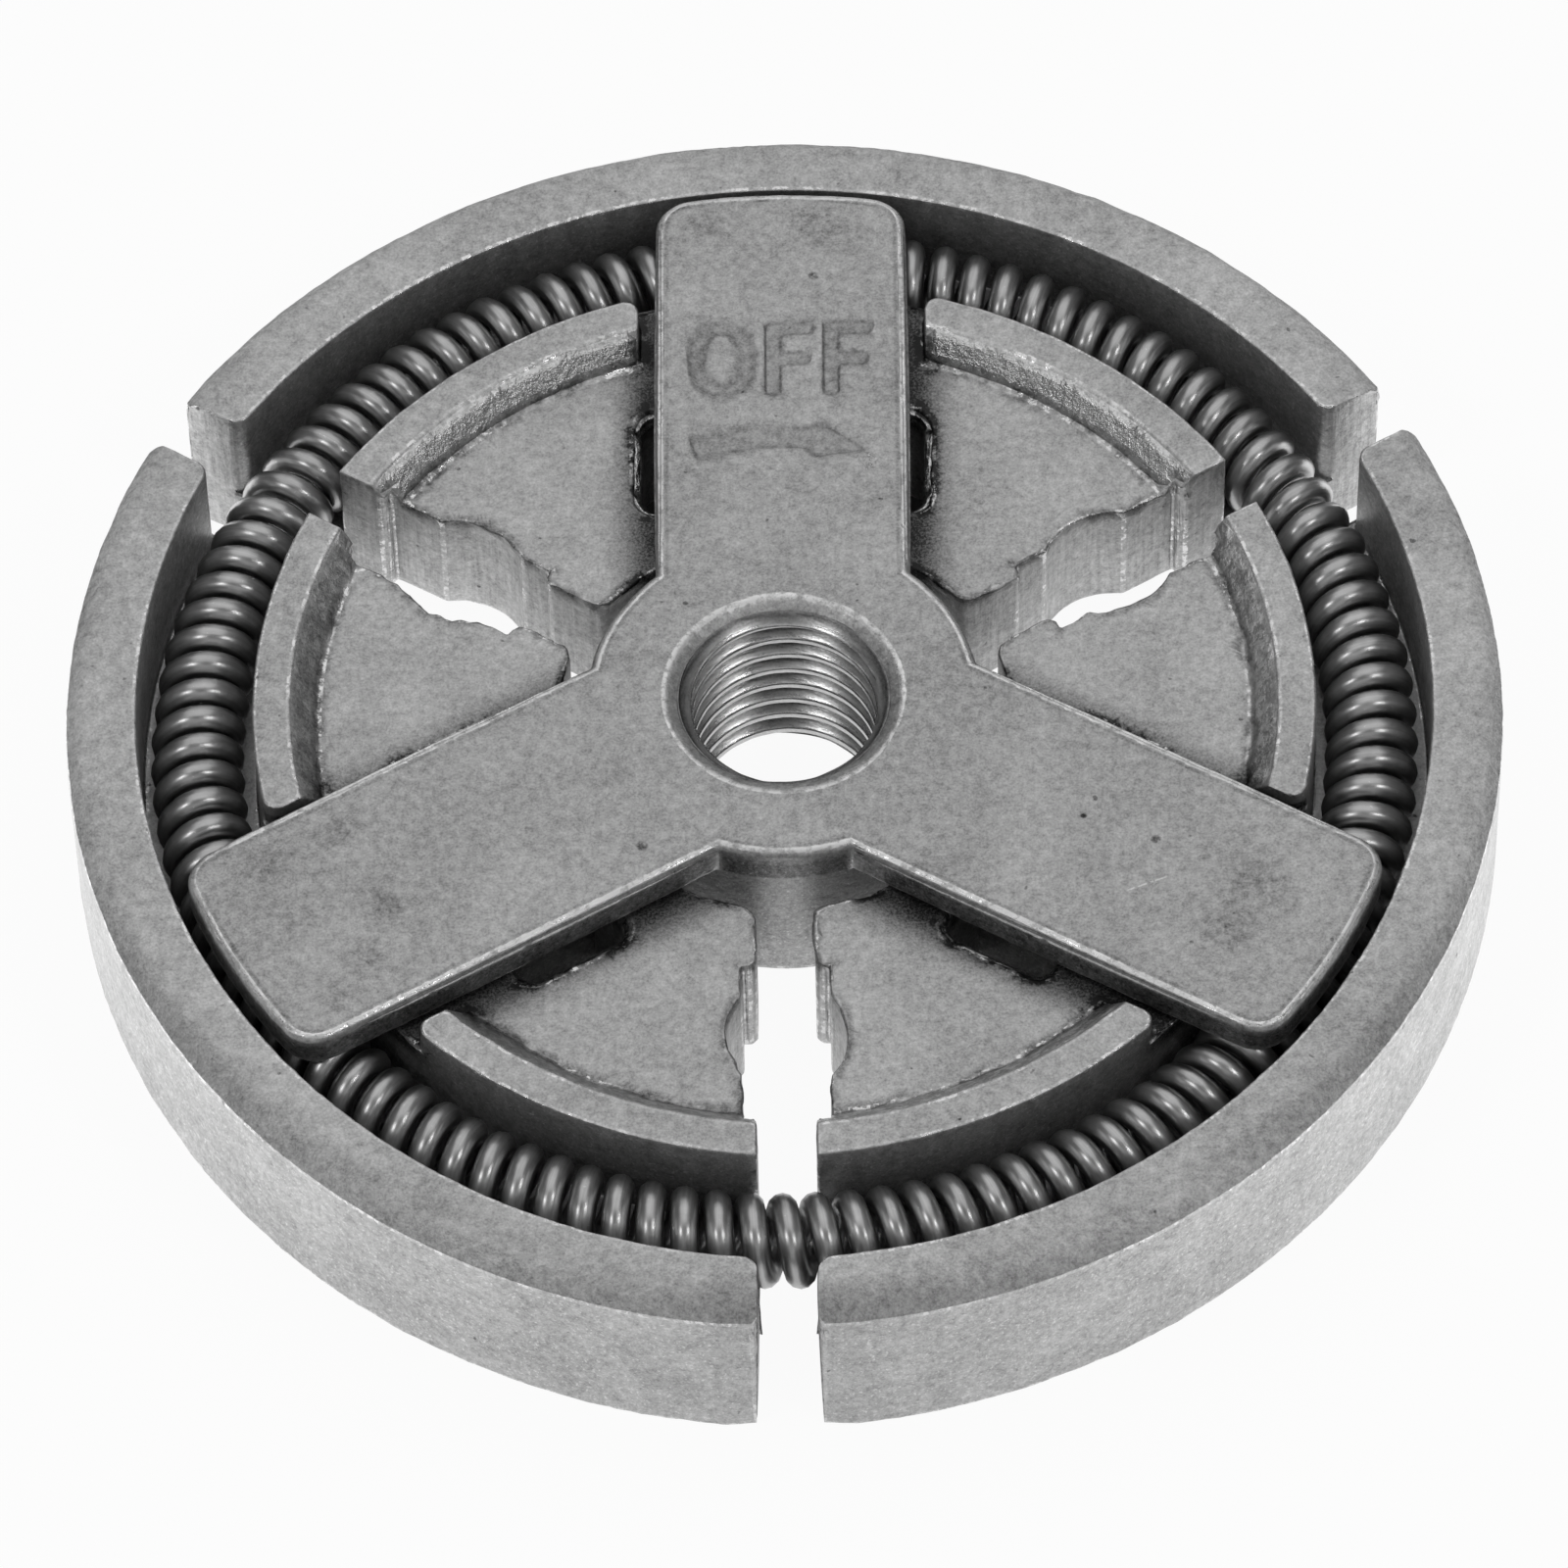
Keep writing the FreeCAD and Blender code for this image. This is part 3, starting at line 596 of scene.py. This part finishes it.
def wornPiece(name, node, body, material, seed, mesh=None, inMark=lambda co: False, turn=None, torn=0.0):
    points, tris, normals, tags = roundedCopy(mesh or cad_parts[node].data, inMark)
    for _ in range(worn["passes"]):
        points, tris, normals, tags, more = splitPass(points, tris, normals, tags)
        if not more:
            break
    edge, mark = np.zeros(len(points)), np.zeros(len(points))
    edge[tris[tags == 1].ravel()] = 1.0
    mark[tris[tags == 2].ravel()] = 1.0
    points = smoothed(points, tris, mark > 0, 2)
    mark *= ramp(faceTop - points[:, 2], 0, stamp["depth"])
    outward = vertexNormals(points, tris)
    wave = layeredNoise(points, worn["waves"], seed)
    nick = layeredNoise(points, worn["nicks"], seed + len(worn["waves"]))
    wear = wearPlaces(points, outward, edge, turn)
    # painted shade: the sloping foot of the wall is darkened on the less torn shoes
    wear["oily"] = wear["flank"] * (1 - torn)
    wear["flank"] = wear["flank"] * torn
    edgeWave = worn["edgeWave"] + (worn["raggedWave"] - worn["edgeWave"]) * wear["ragged"]
    shift = worn["skinWave"] * wave + edge * (edgeWave * nick - worn["edgeWear"])
    shift += wear["flank"] * worn["flankWave"] * nick
    points = points + outward * shift[:, None]
    points[:, 2] = np.clip(points[:, 2], cadBox[0].z, cadBox[1].z)
    obj = meshObject(name, points, tris.tolist(), material)
    middle, half = worn["unrubbed"]
    edge = np.where(np.abs(points[:, 2] - middle) < half, edge * worn["unrubbedEdge"], edge)
    for label, values in {"edge": edge, "mark": mark, **wear}.items():
        layer = obj.data.attributes.new(label, "FLOAT", "POINT")
        layer.data.foreach_set("value", values.astype(np.float32))
    domed = np.ones_like(points)
    domed[:, :2] = unit(points[:, :2] - shoeAxis(turn)) * (wear["soft"] * worn["softRoll"])[:, None]
    shading = np.where(wear["soft"][:, None] > 0, domed, vertexNormals(points, tris))
    obj.data.normals_split_custom_set_from_vertices(unit(shading).tolist())
    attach(obj, body)
    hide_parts(node)
    print(name, len(tris), "triangles")


# Stamped marks on the lettered arm.
stamp = {
    "depth": 0.17 * mm, "draft": 0.13 * mm,
    "baseline": 17.55 * mm, "capital": 4.55 * mm, "stroke": 0.86 * mm,
    "ovalMiddle": -2.92 * mm, "ovalHalf": 1.66 * mm, "ovalPower": 2.3, "ovalCorners": 48,
    "barLetters": (-0.85 * mm, 1.97 * mm), "barWidth": 2.5 * mm,
    "lowBarHeight": 0.41, "lowBarReach": 0.92,      # shares of the letter's height and width
    # arrow in millimetres: start and run of the shaft's lower and upper side, their bow, and the head
    "arrowLower": ((-4.1, 13.72), (5.4, 0.62)), "arrowUpper": ((1.3, 15.72), (-5.85, -0.68)),
    "arrowBow": 0.378, "arrowHead": ((1.38, 13.86), (4.25, 14.25), (1.86, 16.05)),
    "zone": ((-5.2 * mm, 13.2 * mm), (5.2 * mm, 22.7 * mm)), "zoneDepth": 0.204 * mm,
}
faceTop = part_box("spider_hub")[1].z


# A loop moved inwards: each corner goes along its bisector, far enough that both sides move by the inset.
def insetLoop(loop, inset):
    before = unit(loop - np.roll(loop, 1, axis=0))
    after = unit(np.roll(loop, -1, axis=0) - loop)
    left = np.stack([-before[:, 1], before[:, 0]], -1)
    right = np.stack([-after[:, 1], after[:, 0]], -1)
    return loop + inset * (left + right) / (1 + (left * right).sum(-1, keepdims=True))


def ovalLoop(halfWidth, halfHeight):  # superellipse, a little squarer than an ellipse
    turn = np.arange(stamp["ovalCorners"]) * tau / stamp["ovalCorners"]
    power = 2 / stamp["ovalPower"]
    across = np.sign(np.cos(turn)) * np.abs(np.cos(turn)) ** power
    upward = np.sign(np.sin(turn)) * np.abs(np.sin(turn)) ** power
    middle = np.array([stamp["ovalMiddle"], stamp["baseline"] + stamp["capital"] / 2])
    return middle + np.stack([across * halfWidth, upward * halfHeight], -1)


def barLoop(left):  # the two-armed letter, anticlockwise from its foot
    s, w, h = stamp["stroke"], stamp["barWidth"], stamp["capital"]
    low, short = h * stamp["lowBarHeight"], w * stamp["lowBarReach"]
    spots = [(0, 0), (s, 0), (s, low), (short, low), (short, low + s), (s, low + s),
             (s, h - s), (w, h - s), (w, h), (0, h)]
    return np.array(spots) + (left, stamp["baseline"])


def arrowLoop():  # bowed shaft and head, anticlockwise from the lower left end
    part = np.linspace(0, 1, 9)[:, None]
    bow = np.array([0, stamp["arrowBow"]]) * np.sin(part * math.pi)
    lower, upper = (np.array(start) + part * np.array(run) + bow
                    for start, run in (stamp["arrowLower"], stamp["arrowUpper"]))
    return np.concatenate([lower, np.array(stamp["arrowHead"]), upper]) * mm


# A tapered cutter under each loop: wide above the face, narrower by the draft at the floor of the mark.
def stampCutter():
    cutter = bmesh.new()
    half, tall = stamp["ovalHalf"], stamp["capital"] / 2
    loops = [(ovalLoop(half, tall), ovalLoop(half - stamp["stroke"], tall - stamp["stroke"]))]
    loops += [(barLoop(left), None) for left in stamp["barLetters"]] + [(arrowLoop(), None)]
    floor, above = faceTop - stamp["depth"], faceTop + stamp["depth"]

    def ring(loop, inset):
        wide, narrow = insetLoop(loop, -inset), insetLoop(loop, inset)
        high = [cutter.verts.new((x, y, above)) for x, y in wide]
        deep = [cutter.verts.new((x, y, floor)) for x, y in narrow]
        return high, deep

    def bridge(first, second):
        for here in range(len(first)):
            there = (here + 1) % len(first)
            cutter.faces.new((first[here], first[there], second[there], second[here]))

    for outer, inner in loops:
        high, deep = ring(outer, stamp["draft"])
        bridge(high, deep)
        if inner is None:
            cutter.faces.new(high)
            cutter.faces.new(deep)
        else:
            innerHigh, innerDeep = ring(inner, -stamp["draft"])
            bridge(innerHigh, innerDeep)
            bridge(high, innerHigh)
            bridge(deep, innerDeep)
    bmesh.ops.recalc_face_normals(cutter, faces=cutter.faces)
    mesh = bpy.data.meshes.new("stampCutter")
    cutter.to_mesh(mesh)
    cutter.free()
    return linked("stampCutter", mesh)


def stampedSpider():  # merged copy of the spider with the marks cut into its face
    solid = mergedSolid(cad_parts["spider_hub"].data)
    mesh = bpy.data.meshes.new("stampedSpider")
    solid.to_mesh(mesh)
    solid.free()
    blank = linked("stampedSpider", mesh)
    cutter = stampCutter()
    cut = blank.modifiers.new("marks", "BOOLEAN")
    cut.operation, cut.solver, cut.object = "DIFFERENCE", "EXACT", cutter
    bpy.context.view_layer.update()
    stamped = bpy.data.meshes.new_from_object(blank.evaluated_get(bpy.context.evaluated_depsgraph_get()))
    for obj in (blank, cutter):
        bpy.data.objects.remove(obj)
    return stamped


def inStampZone(co):
    (left, low), (right, high) = stamp["zone"]
    return left < co.x < right and low < co.y < high and co.z > faceTop - stamp["zoneDepth"]


shoeSteel = sinteredSteel("shoeSteel", tone=0.62, mottling=0.3)
spiderSteel = sinteredSteel("spiderSteel", tone=0.55, mottling=0.1, withFace=True)
wornPiece("spider", "spider_hub", "spider", spiderSteel, worn["spiderSeed"], stampedSpider(), inStampZone)
for turn, (side, (node, body, torn, seed)) in zip(armTurns, shoes.items()):
    wornPiece(f"{side}_shoe_worn", node, body, shoeSteel, seed, turn=math.radians(turn), torn=torn)


# Garter spring.
spring = {
    "ringRadius": 28.05 * mm, "height": 6.1 * mm, "coilDiameter": 4.5 * mm, "wire": 1.35 * mm,
    "coils": 110, "steps": 26, "sides": 12,
    "topAt": 270,                                   # direction in which a coil stands on top: the front gap
    "sway": 0.05 * mm, "swayEvery": 5.0, "swaySeed": 5,     # slow drift in and out, every so many degrees
    "blendStart": 0.5 * mm, "blendEnd": 1.7 * mm,   # distances along a run from the gap that it starts or ends at
    # first and last direction of each run, the gap that it starts or ends at, and its shoe
    "runs": ((90, 150, 150, "back_shoe"), (150, 210, 150, "left_shoe"), (210, 270, 270, "left_shoe"),
             (270, 330, 270, "right_shoe"), (-30, 30, 30, "right_shoe"), (30, 90, 30, "back_shoe")),
}


# A round wire along a right-hand coil about the ring: the coil's angle falls by one turn for each
# coil while the ring's angle rises, and the coil stands on top in the middle of the front gap.
def springRun(first, last):
    count = round((last - first) / 360 * spring["coils"] * spring["steps"])
    beyond = (last - first) / count   # one step more at each end, so that the runs meet at the same slant
    ringAngle = np.radians(np.linspace(first - beyond, last + beyond, count + 3))[:, None]
    coilAngle = math.pi / 2 - spring["coils"] * (ringAngle - math.radians(spring["topAt"]))
    outward = np.stack([np.cos(ringAngle), np.sin(ringAngle), np.zeros_like(ringAngle)], -1)
    upward = np.array([0.0, 0.0, 1.0])
    wireRadius = spring["wire"] / 2
    reach = spring["coilDiameter"] / 2 - wireRadius
    drift = softNoise(np.degrees(ringAngle) * np.array([1.0, 0, 0]), spring["swayEvery"], spring["swaySeed"])
    ringRadius = spring["ringRadius"] + spring["sway"] * drift[:, None, None]
    away = outward * np.cos(coilAngle)[..., None] + upward * np.sin(coilAngle)[..., None]
    center = outward * ringRadius + upward * spring["height"] + away * reach
    ahead = unit(np.gradient(center, axis=0))
    aside = unit(np.cross(ahead, away))
    sideAngle = np.linspace(0, tau, spring["sides"], endpoint=False)[None, :, None]
    outside = (away * np.cos(sideAngle) + aside * np.sin(sideAngle))[1:-1]
    skin = center[1:-1] + wireRadius * outside
    rows, sides = skin.shape[:2]
    index = np.arange(rows * sides).reshape(rows, sides)
    beside = np.roll(index, -1, axis=1)
    quads = np.stack([index[:-1], beside[:-1], beside[1:], index[1:]], -1).reshape(-1, 4)
    return skin.reshape(-1, 3), outside.reshape(-1, 3), quads, index, coilAngle.ravel()[1:-1]


# The wire's own map: turns of the coil along it and the turn round it, which ends at 1 on its last quad.
def mapWire(mesh, quadCount, coilAngle):
    layer = mesh.uv_layers.new(name="wire")
    corner = np.empty(len(mesh.loops), np.int32)
    mesh.loops.foreach_get("vertex_index", corner)
    row, side = corner // spring["sides"], (corner % spring["sides"]).astype(float)
    start = np.repeat(np.arange(quadCount) % spring["sides"], 4)
    side[:len(start)] = np.where(side[:len(start)] < start, spring["sides"], side[:len(start)])
    uv = np.stack([coilAngle[row] / tau, side / spring["sides"]], -1)
    layer.data.foreach_set("uv", uv.ravel().astype(np.float32))


def springPiece(number, first, last, gap, material):
    points, outside, quads, index, coilAngle = springRun(first, last)
    faces = quads.tolist() + [index[0][::-1].tolist(), index[-1].tolist()]
    obj = meshObject(f"spring_run_{number}", points, faces, material)
    obj.data.normals_split_custom_set_from_vertices(outside.tolist())   # the same on both sides of a joint
    mapWire(obj.data, len(quads), coilAngle)
    turn = math.radians(gap)
    towards = 1 if (first + last) / 2 > gap else -1
    spot = np.array([math.cos(turn), math.sin(turn), 0]) * spring["ringRadius"]
    along = np.array([-math.sin(turn), math.cos(turn), 0]) * towards
    spot + along * spring["blendStart"]
    spot + along * spring["blendEnd"]
    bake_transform(obj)
    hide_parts("garter_spring")


springWire = drawnWire()
for number, (first, last, gap, shoe) in enumerate(spring["runs"], start=1):
    springPiece(number, first, last, gap, springWire)
print("spring wound in", len(spring["runs"]), "runs")


# Thread in the bore.
thread = {
    "major": 5.0 * mm, "minor": 4.4 * mm, "pitch": 1.25 * mm, "bottom": 0.0, "top": 10.03 * mm,
    "mouthSlope": 1.75, "sunk": 0.06 * mm, "around": 120, "along": 190,
    "root": 0.16, "crest": 0.76, "blunt": 0.35,     # a tooth's start and end in half a pitch, its rounding
    "sharp": math.radians(50),
}


# A left-hand ridge: depth of a blunt tooth at the phase of height plus turn, cut back by a cone at
# both mouths, on a grid of angle and height, with a plain sleeve behind it in the hub.
def threadPiece(material):
    angle = np.linspace(0, tau, thread["around"], endpoint=False)[None, :]
    height = np.linspace(thread["bottom"], thread["top"], thread["along"])[:, None]
    phase = (height / thread["pitch"] + angle / tau) % 1
    tooth = ramp(np.abs(phase - 0.5) * 2, thread["root"], thread["crest"])
    tooth = eased(tooth) * thread["blunt"] + tooth * (1 - thread["blunt"])
    radius = thread["major"] - (thread["major"] - thread["minor"]) * tooth
    mouth = np.minimum(height - thread["bottom"], thread["top"] - height)
    radius = np.maximum(radius, thread["major"] - mouth * thread["mouthSlope"])
    ring = np.stack([radius * np.cos(angle), radius * np.sin(angle), height + 0 * angle], -1)
    back = np.stack([np.cos(angle), np.sin(angle), 0 * angle], -1) * (thread["major"] + thread["sunk"])
    foot, head = back + [0, 0, thread["bottom"]], back + [0, 0, thread["top"]]
    skin = np.concatenate([foot, ring, head])
    rows, around = skin.shape[:2]
    index = np.arange(rows * around).reshape(rows, around)
    below = np.concatenate([index, index[:1]])
    beside = np.roll(below, -1, axis=1)
    quads = np.stack([below[:-1], below[1:], beside[1:], beside[:-1]], -1).reshape(-1, 4)
    obj = meshObject("hub_thread", skin.reshape(-1, 3), quads.tolist(), material)
    obj.data.set_sharp_from_angle(angle=thread["sharp"])
    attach(obj, "spider")


threadPiece(cutSteel())
print("thread cut")


# Floor.
floorLook = {
    "half": 4.0, "below": 0.02 * mm, "white": 0.86, "shade": 0.05, "roughness": 0.9, "glow": 0.94,
    # brightness in reflections near the clutch and far from it, and what is added to the left and right
    "mirrorNear": 1.05, "mirrorFar": 0.15, "nearFade": (90 * mm, 260 * mm),
    "mirrorSide": 1.1, "sideFade": (4 * mm, 62 * mm),
    # under the arms, where it shows through the shoes' windows, the floor is painted dark and loses its glow:
    # painted shade
    "shadeStart": (10.5 * mm, 11.5 * mm), "shadeEnd": (23 * mm, 24 * mm), "shadeSide": (9 * mm, 10 * mm),
}


def underArm(place, turn):
    along, aside = place.armLines(turn)
    under = along.between(*floorLook["shadeStart"]) * (1 - along.between(*floorLook["shadeEnd"]))
    return under * (1 - aside.between(*floorLook["shadeSide"]))


def paleFloor():
    half, low = floorLook["half"], -floorLook["below"]
    corners = np.array([[-half, -half, low], [half, -half, low], [half, half, low], [-half, half, low]])
    material, shader, place = newMaterial("paleFloor")
    shader.inputs["Roughness"].default_value = floorLook["roughness"]
    rays = ("Is Camera Ray", "Is Glossy Ray", "Is Transmission Ray")
    bySight, byMirror, byGlass = (place.make("ShaderNodeLightPath", {}, {}, ray) for ray in rays)
    clear = math.prod(1 - underArm(place, turn) for turn in armTurns)
    # painted shade: the floor's colour goes dark under the arms
    feed(blendGreys(clear, floorLook["shade"], floorLook["white"]), shader, "Base Color")
    seen = place.calc("MINIMUM", bySight + byMirror + byGlass, 1.0) * clear * floorLook["glow"]
    near = place.spot((0, 0, 0), *floorLook["nearFade"])
    mirrored = near * (floorLook["mirrorNear"] - floorLook["mirrorFar"]) + floorLook["mirrorFar"]
    aside = place.dot((1, 0, 0)).size().between(*floorLook["sideFade"])
    strength = bySight + (1 - bySight) * (mirrored + near * aside * floorLook["mirrorSide"])
    colour = place.make("ShaderNodeCombineColor", {}, {0: strength, 1: strength, 2: strength})
    glow = place.make("ShaderNodeEmission", {}, {"Color": colour, "Strength": 1.0})
    both = place.make("ShaderNodeMixShader", {}, {0: seen, 1: Wire(place.tree, shader.outputs[0]), 2: glow})
    feed(both, place.tree.nodes["Material Output"], "Surface")
    meshObject("floor", corners, [[0, 1, 2, 3]], material)


paleFloor()


# Studio light.
studio = {
    "world": 0.16,
    # direction as azimuth and elevation seen from the clutch (azimuth 0 is the camera's side),
    # distance, size, power
    "lamps": {
        "overhead": (180, 68, 0.8, 0.9, 2.32),
        "backWall": (180, 21, 0.8, 0.5, 0.45),
        "frontFill": (0, 33, 0.8, 0.6, 0.48),
        "leftWall": (-80, 14, 0.8, 0.5, 0.5),
        "rightWall": (80, 14, 0.8, 0.5, 0.5),
        "leftBox": (-52, 52, 0.6, 0.1, 0.38),
        "rightBox": (52, 52, 0.6, 0.1, 0.38),
    },
}


def studioLight():
    world = bpy.data.worlds.new("studio")
    world.use_nodes = True
    world.node_tree.nodes["Background"].inputs["Color"].default_value = grey(1.0)
    world.node_tree.nodes["Background"].inputs["Strength"].default_value = studio["world"]
    bpy.context.scene.world = world
    for name, (azimuth, elevation, distance, size, power) in studio["lamps"].items():
        lamp = bpy.data.lights.new(name, "AREA")
        lamp.shape, lamp.size, lamp.energy = "SQUARE", size, power
        turn, rise = math.radians(azimuth), math.radians(elevation)
        way = Vector((math.sin(turn) * math.cos(rise), -math.cos(turn) * math.cos(rise), math.sin(rise)))
        obj = linked(name, lamp)
        obj.location = way * distance
        obj.rotation_mode = "QUATERNION"
        obj.rotation_quaternion = way.to_track_quat("Z", "Y")


studioLight()


# Camera.
view = {
    "lens": 259.5, "sensor": 36.0, "clip": (0.01, 20.0),
    "elevation": 0.9665, "roll": -0.0253, "turn": 0.0155,     # radians
    "distance": 536.8 * mm, "right": 0.019 * mm, "up": -4.342 * mm, "aimHeight": 10.4 * mm,
}


# Looks along a falling line at the middle of the spider's face, moved a little across and rolled.
def placeCamera():
    rise, roll = view["elevation"], view["roll"]
    level = Vector((1, 0, 0))
    back = Vector((0, -math.cos(rise), math.sin(rise)))
    upright = back.cross(level)
    right = level * math.cos(roll) + upright * math.sin(roll)
    up = upright * math.cos(roll) - level * math.sin(roll)
    spot = back * view["distance"] + right * view["right"] + up * view["up"]
    axes = Matrix((right, up, back)).transposed().to_4x4()
    lens = bpy.data.cameras.new("camera")
    lens.lens, lens.sensor_width = view["lens"], view["sensor"]
    lens.clip_start, lens.clip_end = view["clip"]
    camera = linked("camera", lens)
    lift = Matrix.Translation((0, 0, view["aimHeight"]))
    camera.matrix_world = lift @ Matrix.Rotation(view["turn"], 4, "Z") @ Matrix.Translation(spot) @ axes
    bpy.context.scene.camera = camera


placeCamera()
bpy.context.scene.view_settings.view_transform = "Standard"
print("stage, light and camera set")
